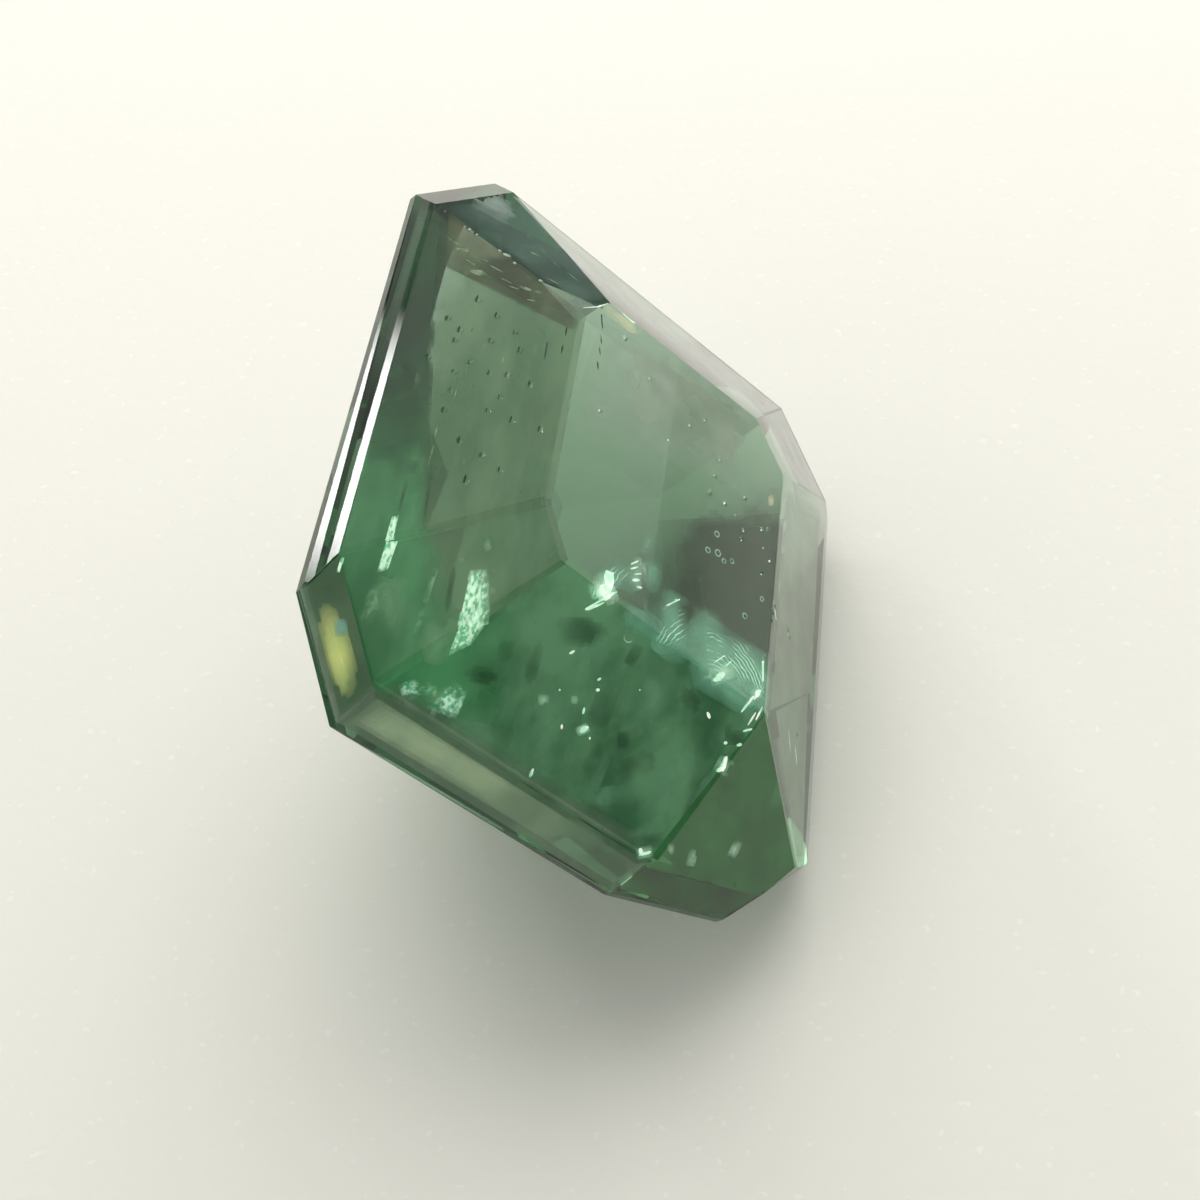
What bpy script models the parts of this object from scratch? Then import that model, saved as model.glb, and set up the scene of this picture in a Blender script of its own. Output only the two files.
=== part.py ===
"""A loose green apatite, step cut, lying on one facet of its pavilion.

The stone is cut the way a lapidary cuts it: a block of rough is ground away, one flat facet after
another. Each side of the outline has a profile, which is its distance from the stone's axis at a few
levels below the table, and each pair of neighbouring levels gives one facet.
"""

from dataclasses import dataclass
from math import cos, hypot, radians, sin

import bmesh
import bpy
from mathutils import Matrix, Vector

NODE_NAME = "gemstone"
MILLIMETRE = 0.001

# Levels below the table, in millimetres
TABLE_LEVEL = 0.0
SHOULDER_LEVEL = -1.37
GIRDLE_TOP_LEVEL = -1.75
GIRDLE_FLOOR_LEVEL = -1.90
UPPER_STEP_LEVEL = -4.00
LOWER_STEP_LEVEL = -5.80
CULET_LEVEL = -7.15
STEP_LEVELS = (UPPER_STEP_LEVEL, LOWER_STEP_LEVEL, CULET_LEVEL)

# Slopes of the upper, middle and lower pavilion steps, in degrees from the girdle plane
LONG_SIDE_SLOPES = (59.5, 50.2, 45.6)
END_SLOPES = (56.1, 48.3, 39.6)
CORNER_SLOPES = (52.4, 44.2, 24.1)

# The stone lies on the middle step of its right side
REST_SLOPE = LONG_SIDE_SLOPES[1]

# The block of rough, in millimetres: larger than the stone on every side
ROUGH_WIDTH = 14.0
ROUGH_TOP = 1.0
ROUGH_DEPTH = 10.0

# Points closer than this, in millimetres, are one point
SAME_POINT = 0.00001

# The stone's colour, and how light passes through it
APATITE_GREEN = (0.10, 0.30, 0.16, 1.0)
APATITE_ROUGHNESS = 0.03
APATITE_METALLIC = 0.0
APATITE_INDEX = 1.635
APATITE_TRANSMISSION = 1.0


@dataclass(frozen=True)
class Side:
    """One side of the outline: bearing and pavilion slopes in degrees, distances from the axis in mm."""

    bearing: float
    table: float
    shoulder: float
    girdle: float
    slopes: tuple

    def facets(self):
        """Return the (outward normal, point) of each facet on this side, from the table down."""
        levels = [
            (self.table, TABLE_LEVEL),
            (self.shoulder, SHOULDER_LEVEL),
            (self.girdle, GIRDLE_TOP_LEVEL),
            (self.girdle, GIRDLE_FLOOR_LEVEL),
        ]
        for slope, level in zip(self.slopes, STEP_LEVELS):
            reach, above = levels[-1]
            run = (above - level) * cos(radians(slope)) / sin(radians(slope))
            levels.append((reach - run, level))
        out = Vector((cos(radians(self.bearing)), sin(radians(self.bearing)), 0.0))
        found = []
        for (reach, level), (next_reach, next_level) in zip(levels, levels[1:]):
            drop = level - next_level
            spread = next_reach - reach
            length = hypot(drop, spread)
            normal = out * (drop / length) + Vector((0.0, 0.0, spread / length))
            found.append((normal, out * reach + Vector((0.0, 0.0, level))))
        return found


SIDES = [
    Side(bearing=0.0, table=1.88, shoulder=4.50, girdle=5.00, slopes=LONG_SIDE_SLOPES),
    Side(bearing=46.0, table=2.68, shoulder=5.70, girdle=6.07, slopes=CORNER_SLOPES),
    Side(bearing=89.0, table=2.65, shoulder=4.98, girdle=5.33, slopes=END_SLOPES),
    Side(bearing=137.0, table=3.45, shoulder=6.02, girdle=6.38, slopes=CORNER_SLOPES),
    Side(bearing=180.0, table=2.74, shoulder=4.82, girdle=5.00, slopes=LONG_SIDE_SLOPES),
    Side(bearing=212.0, table=3.09, shoulder=5.63, girdle=6.06, slopes=CORNER_SLOPES),
    Side(bearing=264.6, table=2.37, shoulder=4.82, girdle=5.33, slopes=END_SLOPES),
    Side(bearing=280.0, table=2.86, shoulder=5.08, girdle=5.51, slopes=END_SLOPES[:2]),
    Side(bearing=312.0, table=5.10, shoulder=5.78, girdle=5.86, slopes=CORNER_SLOPES),
]


def grind(stone, normal, point):
    """Cut away what lies beyond a plane, and close the stone with one flat facet."""
    everything = stone.verts[:] + stone.edges[:] + stone.faces[:]
    cut = bmesh.ops.bisect_plane(
        stone,
        geom=everything,
        dist=SAME_POINT,
        plane_co=point,
        plane_no=normal,
        clear_outer=True,
    )
    rim = [piece for piece in cut["geom_cut"] if isinstance(piece, bmesh.types.BMEdge)]
    if rim:
        bmesh.ops.edgenet_fill(stone, edges=rim)


def cut_stone():
    """Return the cut stone in its own cutting frame: table on top, at the level 0, in millimetres."""
    stone = bmesh.new()
    bmesh.ops.create_cube(stone, size=1.0)
    height = ROUGH_TOP + ROUGH_DEPTH
    bmesh.ops.scale(stone, vec=(ROUGH_WIDTH, ROUGH_WIDTH, height), verts=stone.verts)
    bmesh.ops.translate(stone, vec=(0.0, 0.0, ROUGH_TOP - height / 2), verts=stone.verts)
    grind(stone, Vector((0.0, 0.0, 1.0)), Vector((0.0, 0.0, TABLE_LEVEL)))
    grind(stone, Vector((0.0, 0.0, -1.0)), Vector((0.0, 0.0, CULET_LEVEL)))
    for side in SIDES:
        for normal, point in side.facets():
            grind(stone, normal, point)
    bmesh.ops.remove_doubles(stone, verts=stone.verts, dist=SAME_POINT)
    bmesh.ops.recalc_face_normals(stone, faces=stone.faces)
    return stone


def lay_down(stone):
    """Turn the stone onto the middle step of its right side, and stand it on the origin, in metres."""
    turn = Matrix.Rotation(radians(REST_SLOPE), 4, "Y")
    bmesh.ops.transform(stone, matrix=Matrix.Scale(MILLIMETRE, 4) @ turn, verts=stone.verts)
    low = Vector([min(vert.co[axis] for vert in stone.verts) for axis in range(3)])
    high = Vector([max(vert.co[axis] for vert in stone.verts) for axis in range(3)])
    foot = Vector(((low.x + high.x) / 2, (low.y + high.y) / 2, low.z))
    bmesh.ops.translate(stone, vec=-foot, verts=stone.verts)


def apatite():
    """Return the clear green material of the stone."""
    material = bpy.data.materials.new("apatite")
    material.use_nodes = True
    shader = material.node_tree.nodes["Principled BSDF"]
    shader.inputs["Base Color"].default_value = APATITE_GREEN
    shader.inputs["Roughness"].default_value = APATITE_ROUGHNESS
    shader.inputs["Metallic"].default_value = APATITE_METALLIC
    shader.inputs["IOR"].default_value = APATITE_INDEX
    shader.inputs["Transmission Weight"].default_value = APATITE_TRANSMISSION
    return material


def make_gemstone():
    """Build the stone as one object."""
    stone = cut_stone()
    lay_down(stone)
    mesh = bpy.data.meshes.new(NODE_NAME)
    stone.to_mesh(mesh)
    stone.free()
    mesh.materials.append(apatite())
    gemstone = bpy.data.objects.new(NODE_NAME, mesh)
    bpy.context.scene.collection.objects.link(gemstone)
    return gemstone


def main():
    """Clear the scene, then build the stone."""
    for old in list(bpy.data.objects):
        bpy.data.objects.remove(old)
    make_gemstone()


main()
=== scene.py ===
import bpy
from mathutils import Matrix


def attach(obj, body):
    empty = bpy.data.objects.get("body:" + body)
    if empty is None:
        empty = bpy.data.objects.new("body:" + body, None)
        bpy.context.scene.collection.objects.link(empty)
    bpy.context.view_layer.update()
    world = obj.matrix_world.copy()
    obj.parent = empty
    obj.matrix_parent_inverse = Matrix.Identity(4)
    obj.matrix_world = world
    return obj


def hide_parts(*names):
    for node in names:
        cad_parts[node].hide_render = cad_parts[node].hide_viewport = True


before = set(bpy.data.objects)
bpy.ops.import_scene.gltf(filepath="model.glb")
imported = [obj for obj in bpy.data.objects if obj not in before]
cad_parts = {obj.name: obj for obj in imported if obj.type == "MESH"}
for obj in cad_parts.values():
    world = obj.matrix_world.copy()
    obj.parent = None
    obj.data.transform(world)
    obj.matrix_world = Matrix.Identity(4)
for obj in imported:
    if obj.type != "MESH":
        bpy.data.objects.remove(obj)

"""A loose step-cut green apatite on pale paper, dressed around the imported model.

The stone is one clear solid: light bends into it, loses its red and blue on the way through, and shows the
facets of the far side, the healed cracks, the growth tubes and the specks that the crystal grew with. Sizes
are in metres, and numbers times MM read as millimetres. Pixels are those of the photograph.
"""

import logging
import math
from dataclasses import dataclass, field
from enum import Enum

import bmesh
import bpy
from mathutils import Matrix, Vector, noise
from mathutils.bvhtree import BVHTree

LOG = logging.getLogger("apatite")
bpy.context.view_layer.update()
MM = 0.001
BODY = "root"
STONE_NODE = "gemstone"
APATITE_INDEX = 1.635
CENTRE = Vector((0.0, 0.0, 0.0))

# The photograph's side in pixels, the camera's sensor, and about what a pixel spans on the stone
PHOTO_SIDE = 1200
SENSOR_WIDTH = 36.0
PIXEL = 0.015 * MM

# The attribute that carries how far a point is from its sheet's rim, and the share of a rim that isn't faded
RIM = "rim"
OPEN = 0.002

# The pits in the crown facet at the left and in the table, as pixels
LEFT_PITS = (
    (460, 330), (455, 340), (491, 341), (428, 357), (454, 372), (490, 372), (507, 375), (451, 390),
    (488, 410), (500, 397), (460, 440), (478, 300), (520, 350), (470, 362), (512, 420), (482, 455),
    (444, 410), (530, 385), (540, 430), (466, 480), (500, 470), (448, 318), (497, 316), (515, 332),
)
TABLE_PITS = (
    (625, 338), (650, 378), (600, 410), (690, 425), (705, 420), (720, 460), (715, 475), (710, 492),
    (725, 503), (745, 497), (744, 531), (742, 540), (762, 530), (768, 530), (770, 561), (762, 574),
)

# Bright specks that have no pit above them, as pixels
FREE_SPECKS = (
    (763, 548), (735, 515), (690, 470), (668, 440), (640, 690), (676, 600), (700, 580), (560, 690),
)


class Signal:
    """A number or a shader on its way through a node tree, which can be written in sums and products."""

    def __init__(self, graph: "Graph", socket: bpy.types.NodeSocket) -> None:
        """Keep the socket and the graph that it belongs to."""
        self.graph = graph
        self.socket = socket

    def __add__(self, other: "Signal | float") -> "Signal":
        """Return the sum."""
        return self.graph.node("ShaderNodeMath", {"operation": "ADD"}, {0: self, 1: other})

    def __mul__(self, other: "Signal | float") -> "Signal":
        """Return the product."""
        return self.graph.node("ShaderNodeMath", {"operation": "MULTIPLY"}, {0: self, 1: other})

    def steps(self, low: float, high: float) -> "Signal":
        """Return 0 below one value and 1 above the other, with a soft rise between them.

        Args:
            low: where the rise starts.
            high: where the rise ends.

        Returns:
            The eased number, from 0 to 1.
        """
        settings = {"interpolation_type": "SMOOTHSTEP"}
        values = {"Value": self, "From Min": low, "From Max": high, "To Min": 0.0, "To Max": 1.0}
        return self.graph.node("ShaderNodeMapRange", settings, values)


class Graph:
    """A material's or the world's node tree, filled by one call for each node."""

    def __init__(self, tree: bpy.types.NodeTree) -> None:
        """Start with an empty tree."""
        self.tree = tree
        tree.nodes.clear()

    def node(
        self,
        kind: str,
        settings: dict | None = None,
        values: dict | None = None,
        output: int | str = 0,
    ) -> Signal:
        """Add one node.

        Args:
            kind: the node's type, such as ShaderNodeMath.
            settings: the node's own properties, set before its sockets.
            values: the sockets' values or links, by socket name or number. A colour has three numbers.
            output: the name or number of the socket to return.

        Returns:
            The output socket, as a signal.
        """
        made = self.tree.nodes.new(kind)
        for name, value in (settings or {}).items():
            setattr(made, name, value)
        for name, value in (values or {}).items():
            socket = made.inputs[name]
            if isinstance(value, Signal):
                self.tree.links.new(value.socket, socket)
            elif socket.type == "RGBA":
                socket.default_value = (*value, 1.0)
            else:
                socket.default_value = value
        return Signal(self, made.outputs[output])

    def place(self, centre: Vector = CENTRE, stretch: tuple = (1.0, 1.0, 1.0)) -> Signal:
        """Return object coordinates in millimetres.

        Args:
            centre: the point that reads as zero, in metres.
            stretch: a factor on each axis.

        Returns:
            The coordinates, as two Mapping nodes leave them.
        """
        raw = self.node("ShaderNodeTexCoord", output="Object")
        shift = self.node("ShaderNodeMapping", values={"Vector": raw, "Location": -centre})
        return self.node("ShaderNodeMapping", values={"Vector": shift, "Scale": Vector(stretch) / MM})

    def noise(self, where: Signal, waves: float, detail: float = 3.0) -> Signal:
        """Return smooth noise around a half, with its waves given for each millimetre."""
        values = {"Vector": where, "Scale": waves, "Detail": detail, "Roughness": 0.5}
        return self.node("ShaderNodeTexNoise", {"noise_dimensions": "3D"}, values)

    def rim(self) -> Signal:
        """Return how far a point of a sheet is from the sheet's rim."""
        return self.node("ShaderNodeAttribute", {"attribute_name": RIM}, output="Fac")

    def mix(self, factor: Signal, first: Signal | tuple, second: Signal | tuple) -> Signal:
        """Return a colour that goes from the first to the second as the factor goes from 0 to 1."""
        settings = {"data_type": "RGBA"}
        return self.node("ShaderNodeMix", settings, {0: factor, 6: first, 7: second}, output=2)

    def surface(self, values: dict) -> Signal:
        """Return a Principled shader with some of its values set."""
        return self.node("ShaderNodeBsdfPrincipled", values=values)

    def finish(self, surface: Signal, volume: Signal | None = None) -> None:
        """Wire the finished shaders to the output.

        Args:
            surface: what the surface does to light.
            volume: what the inside does to it, if anything.
        """
        of_world = isinstance(self.tree.id_data, bpy.types.World)
        end = self.tree.nodes.new("ShaderNodeOutputWorld" if of_world else "ShaderNodeOutputMaterial")
        self.tree.links.new(surface.socket, end.inputs["Surface"])
        if volume is not None:
            self.tree.links.new(volume.socket, end.inputs["Volume"])


def new_graph(name: str) -> tuple[bpy.types.Material, Graph]:
    """Return a new material and its empty graph.

    Args:
        name: the material's name.

    Returns:
        The material, and the graph of its node tree.
    """
    material = bpy.data.materials.new(name)
    material.use_nodes = True
    return material, Graph(material.node_tree)


@dataclass(frozen=True)
class ClearApatite:
    """The crystal itself: glass-clear, polished, and green through its depth."""

    clear: tuple = (1.0, 1.0, 1.0)
    roughness: float = 0.0
    tint: tuple = (0.18, 0.50, 0.28)
    density: float = 310.0

    def material(self) -> bpy.types.Material:
        """Return the material of the stone's body.

        Returns:
            The material, which stands alone.
        """
        material, graph = new_graph("clear_apatite")
        surface = graph.surface({
            "Base Color": self.clear,
            "Roughness": self.roughness,
            "IOR": APATITE_INDEX,
            "Transmission Weight": 1.0,
        })
        depth = graph.node("ShaderNodeVolumeAbsorption", values={"Color": self.tint, "Density": self.density})
        graph.finish(surface, depth)
        return material


@dataclass(frozen=True)
class Paper:
    """The pale sheet that the stone lies on: smooth, with a faint tooth and sparse bright grains."""

    colour: tuple = (0.95, 0.94, 0.895)
    roughness: float = 0.75
    grain_colour: tuple = (1.0, 1.0, 0.97)
    grain_waves: float = 5.0
    grain_detail: float = 1.0
    grain_level: tuple = (0.70, 0.74)
    tooth_waves: float = 3.0
    tooth_detail: float = 4.0
    tooth_height: float = 0.02 * MM
    tooth_strength: float = 0.5

    def material(self) -> bpy.types.Material:
        """Return the material of the sheet.

        Returns:
            The material, which stands alone.
        """
        material, graph = new_graph("pale_paper")
        where = graph.place()
        tooth = graph.noise(where, self.tooth_waves, self.tooth_detail)
        grains = graph.noise(where, self.grain_waves, self.grain_detail).steps(*self.grain_level)
        relief = {"Height": tooth, "Distance": self.tooth_height, "Strength": self.tooth_strength}
        graph.finish(graph.surface({
            "Base Color": graph.mix(grains, self.colour, self.grain_colour),
            "Roughness": self.roughness,
            "Normal": graph.node("ShaderNodeBump", values=relief),
        }))
        return material


@dataclass(frozen=True)
class TrappedAndPaintedLight:
    """The finish of what the crystal grew around, and of sheets of painted light and shade: two colours, with
    a cover broken up by noise.

    The cover fades to nothing at the rim of a sheet, which its points carry as an attribute. Its glow is
    painted light.
    """

    pale: tuple
    deep: tuple
    cover: float
    waves: float = 0.8
    stretch: tuple = (1.0, 1.0, 1.0)
    broken: tuple = (0.0, 0.35)
    shades: tuple = (0.35, 0.65)
    shade_waves: float = 1.5
    glow: float = 0.35
    detail: float = 3.0
    roughness: float = 0.5

    def material(self, name: str) -> bpy.types.Material:
        """Return the material of this kind of inclusion.

        Args:
            name: the material's name.

        Returns:
            The material, which reads each sheet's rim.
        """
        material, graph = new_graph(name)
        where = graph.place(stretch=self.stretch)
        pattern = graph.noise(where, self.waves, self.detail).steps(*self.broken)
        shade = graph.noise(where, self.shade_waves, self.detail).steps(*self.shades)
        colour = graph.mix(shade, self.deep, self.pale)
        graph.finish(graph.surface({
            "Base Color": colour,
            "Roughness": self.roughness,
            "Alpha": graph.rim() * pattern * self.cover,
            # painted glow: the emission stands in for the light that reaches the sheet inside the stone
            "Emission Color": colour,
            "Emission Strength": self.glow,
        }))
        return material


@dataclass(frozen=True)
class Bright:
    """The finish of small solid flakes and specks: two colours, with a painted glow that lights them a little
    from within.
    """

    colour: tuple = (1.0, 1.0, 0.92)
    shaded: tuple = (0.50, 0.88, 0.62)
    glow: float = 0.75
    waves: float = 6.0
    shades: tuple = (0.4, 0.6)
    roughness: float = 0.25

    def material(self, name: str) -> bpy.types.Material:
        """Return the material of the flakes.

        Args:
            name: the material's name.

        Returns:
            The material.
        """
        material, graph = new_graph(name)
        shade = graph.noise(graph.place(), self.waves).steps(*self.shades)
        colour = graph.mix(shade, self.shaded, self.colour)
        graph.finish(graph.surface({
            "Base Color": colour,
            "Roughness": self.roughness,
            # painted glow: the emission paints the flakes' glints and sparkle
            "Emission Color": colour,
            "Emission Strength": self.glow,
        }))
        return material


@dataclass(frozen=True)
class Rippled:
    """A healed crack: an aqua veil crossed by fine bright arcs, like the growth rings of a shell; the arcs'
    flash is a painted glow.
    """

    veil: tuple = (0.19, 0.43, 0.30)
    arc: tuple = (0.60, 0.95, 0.74)
    cover: float = 0.40
    rings: float = 4.6
    twist: float = 4.0
    twist_detail: float = 2.0
    twist_waves: float = 1.5
    line: tuple = (0.74, 1.0)
    broken: tuple = (0.42, 0.58)
    broken_waves: float = 3.0
    glow: float = 0.5
    roughness: float = 0.4

    def material(self, name: str, centre: Vector) -> bpy.types.Material:
        """Return the material, with its arcs about a point in metres.

        Args:
            name: the material's name.
            centre: the middle of its arcs.

        Returns:
            The material, which reads each sheet's rim.
        """
        material, graph = new_graph(name)
        where = graph.place(centre)
        settings = {"wave_type": "RINGS", "rings_direction": "SPHERICAL"}
        values = {
            "Vector": where,
            "Scale": self.rings,
            "Distortion": self.twist,
            "Detail": self.twist_detail,
            "Detail Scale": self.twist_waves,
        }
        rings = graph.node("ShaderNodeTexWave", settings, values, output="Fac").steps(*self.line)
        arcs = rings * graph.noise(where, self.broken_waves).steps(*self.broken)
        colour = graph.mix(arcs, self.veil, self.arc)
        graph.finish(graph.surface({
            "Base Color": colour,
            "Roughness": self.roughness,
            "Alpha": graph.rim() * (arcs * (1.0 - self.cover) + self.cover),
            # painted glow: the emission paints the flash of the arcs
            "Emission Color": colour,
            "Emission Strength": self.glow,
        }))
        return material


@dataclass(frozen=True)
class Eye:
    """The camera of the photograph: where it stands, and how it is turned."""

    place: Vector = Vector((4.658, -13.308, 23.335)) * MM
    bearing: float = 108.04
    dip: float = 55.50
    roll: float = -12.66
    lens: float = 44.34
    nearest: float = 1.0 * MM
    farthest: float = 10.0

    def turned(self) -> Matrix:
        """Return the camera's rotation, whose columns are its right, its up and its back.

        Returns:
            The rotation, as a 3 by 3 matrix.
        """
        level = Matrix.Rotation(math.radians(self.bearing - 90.0), 3, "Z")
        tilted = level @ Matrix.Rotation(math.radians(90.0 - self.dip), 3, "X")
        return tilted @ Matrix.Rotation(math.radians(self.roll), 3, "Z")

    def ray(self, across: float, down: float) -> Vector:
        """Return the direction in which the camera sees a pixel of the photograph.

        Args:
            across: the pixel's distance from the photograph's left edge.
            down: the pixel's distance from its top edge.

        Returns:
            The direction, one long.
        """
        half = PHOTO_SIDE / 2
        focal = self.lens / SENSOR_WIDTH * PHOTO_SIDE
        local = Vector((across - half, half - down, -focal))
        return (self.turned() @ local).normalized()

    def build(self) -> bpy.types.Object:
        """Return the scene's camera.

        Returns:
            The camera, in the scene.
        """
        lens = bpy.data.cameras.new("photo_camera")
        lens.lens = self.lens
        lens.sensor_width = SENSOR_WIDTH
        lens.clip_start = self.nearest
        lens.clip_end = self.farthest
        camera = bpy.data.objects.new("photo_camera", lens)
        camera.matrix_world = Matrix.Translation(self.place) @ self.turned().to_4x4()
        bpy.context.scene.collection.objects.link(camera)
        bpy.context.scene.camera = camera
        return camera


def direction(bearing: float, height: float) -> Vector:
    """Return the direction at a bearing from +X and a height above the horizon, both in degrees.

    Args:
        bearing: the turn from +X about the vertical.
        height: the angle above the horizon.

    Returns:
        The direction, one long.
    """
    level = math.cos(math.radians(height))
    turn = math.radians(bearing)
    return Vector((level * math.cos(turn), level * math.sin(turn), math.sin(math.radians(height))))


@dataclass(frozen=True)
class Glow:
    """A soft round patch of the surroundings that is brighter or darker than what is about it."""

    bearing: float
    height: float
    cone: float
    edge: float
    colour: tuple

    def over(self, graph: Graph, way: Signal, sky: Signal) -> Signal:
        """Return the sky with this patch laid over it.

        Args:
            graph: the world's graph.
            way: the direction of sight.
            sky: the colour so far.

        Returns:
            The colour with the patch.
        """
        middle = direction(self.bearing, self.height)
        settings = {"operation": "DOT_PRODUCT"}
        towards = graph.node("ShaderNodeVectorMath", settings, {0: way, 1: middle}, output="Value")
        low = math.cos(math.radians(self.cone + self.edge))
        high = math.cos(math.radians(max(self.cone - self.edge, 0.0)))
        return graph.mix(towards.steps(low, high), sky, self.colour)


@dataclass(frozen=True)
class Softbox:
    """A square lamp that faces the stone and throws the one soft shadow, and that no facet mirrors."""

    bearing: float = 92.0
    height: float = 45.0
    distance: float = 90.0 * MM
    width: float = 120.0 * MM
    power: float = 0.072
    colour: tuple = (1.0, 0.985, 0.92)

    def build(self) -> bpy.types.Object:
        """Return the lamp, hung at its distance from the stone.

        Returns:
            The lamp, in the scene.
        """
        lamp = bpy.data.lights.new("window_light", "AREA")
        lamp.shape = "SQUARE"
        lamp.size = self.width
        lamp.energy = self.power
        lamp.color = self.colour
        way = direction(self.bearing, self.height)
        turn = way.to_track_quat("Z", "Y").to_matrix().to_4x4()
        made = bpy.data.objects.new("window_light", lamp)
        made.matrix_world = Matrix.Translation(way * self.distance) @ turn
        made.visible_glossy = False
        bpy.context.scene.collection.objects.link(made)
        return made


@dataclass
class Studio:
    """Pale paper under soft light from all round, with the dark of the camera in the middle of it."""

    paper_width: float = 1.2
    paper_cells: int = 8
    paper_gap: float = 0.03 * MM
    horizon: tuple = (0.92, 0.905, 0.85)
    zenith: tuple = (0.64, 0.64, 0.61)
    camera_shade: Glow = Glow(-75.0, 57.0, 32.0, 12.0, (0.06, 0.06, 0.06))
    dark_wall: Glow = Glow(-26.0, 13.0, 20.0, 8.0, (0.16, 0.18, 0.16))
    far_wall: Glow = Glow(80.0, 3.0, 9.0, 5.0, (0.34, 0.42, 0.38))
    lamp_shade: Glow = Glow(142.0, 29.0, 13.0, 5.0, (0.10, 0.12, 0.10))
    small_lamp: Glow = Glow(138.0, 28.5, 4.0, 2.0, (14.0, 14.0, 13.6))
    lamp: Softbox = field(default_factory=Softbox)
    paper: Paper = field(default_factory=Paper)

    def floor(self) -> bpy.types.Object:
        """Return the sheet of paper, a hair below the level that the stone rests on.

        Returns:
            The sheet.
        """
        sheet = bmesh.new()
        cells = self.paper_cells
        bmesh.ops.create_grid(sheet, x_segments=cells, y_segments=cells, size=self.paper_width / 2)
        bmesh.ops.translate(sheet, vec=(0.0, 0.0, -self.paper_gap), verts=sheet.verts)
        floor = as_object("paper_sheet", sheet, self.paper.material())
        return floor

    def world(self) -> None:
        """Light the scene from all round, dimmer overhead and dark where the camera stands."""
        world = bpy.data.worlds.new("studio")
        world.use_nodes = True
        graph = Graph(world.node_tree)
        way = graph.node("ShaderNodeTexCoord", output="Generated")
        height = graph.node("ShaderNodeSeparateXYZ", values={"Vector": way}, output="Z")
        sky = graph.mix(height.steps(0.0, 1.0), self.horizon, self.zenith)
        for patch in (self.camera_shade, self.dark_wall, self.far_wall, self.lamp_shade, self.small_lamp):
            sky = patch.over(graph, way, sky)
        graph.finish(graph.node("ShaderNodeBackground", values={"Color": sky}))
        bpy.context.scene.world = world

    def build(self) -> None:
        """Build the floor, the surroundings and the lamp."""
        self.floor()
        self.world()
        self.lamp.build()


def as_object(name: str, shape: bmesh.types.BMesh, material: bpy.types.Material) -> bpy.types.Object:
    """Turn a finished bmesh into an object at the origin, and free the bmesh.

    Args:
        name: the object's name.
        shape: the mesh, in metres, where it belongs.
        material: its finish.

    Returns:
        The new object, in the scene.
    """
    mesh = bpy.data.meshes.new(name)
    shape.to_mesh(mesh)
    shape.free()
    mesh.materials.append(material)
    made = bpy.data.objects.new(name, mesh)
    bpy.context.scene.collection.objects.link(made)
    return made


def join_stone(piece: bpy.types.Object) -> bpy.types.Object:
    """Tie a piece to the stone's body, and report it.

    Args:
        piece: the finished piece.

    Returns:
        The same piece.
    """
    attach(piece, BODY)
    LOG.info("%s: %d faces", piece.name, len(piece.data.polygons))
    return piece


class StoneSight:
    """Finds the points on and in the stone that the camera sees at a pixel of the photograph."""

    def __init__(self, eye: Eye, shape: bmesh.types.BMesh) -> None:
        """Keep the camera and the facets, and free the bmesh.

        Args:
            eye: the camera.
            shape: the stone with flat facets.
        """
        self.eye = eye
        self.facets = BVHTree.FromBMesh(shape)
        self.planes = [(face.normal.copy(), face.verts[0].co.copy()) for face in shape.faces]
        shape.free()

    def surface(self, across: float, down: float) -> tuple[Vector, Vector]:
        """Return where a pixel's line of sight meets the stone, or the nearest point of its rim.

        Args:
            across: the pixel's distance from the photograph's left edge.
            down: the pixel's distance from its top edge.

        Returns:
            The point, and the normal of its facet.
        """
        ahead = self.eye.ray(across, down)
        point, normal, _, _ = self.facets.ray_cast(self.eye.place, ahead)
        if point is None:
            beside = self.eye.place + ahead * self.eye.place.length
            point, normal, _, _ = self.facets.find_nearest(beside)
        return point, normal

    def inside(self, across: float, down: float, depth: float) -> Vector:
        """Return the point seen through the surface at a pixel, as the facet bends the line of sight.

        Args:
            across: the pixel's distance from the photograph's left edge.
            down: the pixel's distance from its top edge.
            depth: how far along the bent line the point lies, in millimetres.

        Returns:
            The point, in metres.
        """
        point, normal = self.surface(across, down)
        return self.behind(point, normal, across, down, depth)

    def behind(self, spot: Vector, normal: Vector, across: float, down: float, depth: float) -> Vector:
        """Return the point seen at a pixel through one facet, as if that facet had no end.

        Args:
            spot: any point of the facet.
            normal: the facet's outward normal.
            across: the pixel's distance from the photograph's left edge.
            down: the pixel's distance from its top edge.
            depth: how far along the bent line the point lies, in millimetres.

        Returns:
            The point, in metres.
        """
        ahead = self.eye.ray(across, down)
        point = self.eye.place + ahead * ((spot - self.eye.place).dot(normal) / ahead.dot(normal))
        ratio = 1.0 / APATITE_INDEX
        facing = max(-ahead.dot(normal), 0.0)
        bent = math.sqrt(1.0 - ratio**2 * (1.0 - facing**2))
        return point + (ratio * ahead + (ratio * facing - bent) * normal).normalized() * depth * MM

    def holds(self, point: Vector, margin: float) -> bool:
        """Say whether a point lies in the stone, at least a margin in millimetres below each facet."""
        return all((point - spot).dot(normal) < -margin * MM for normal, spot in self.planes)


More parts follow.
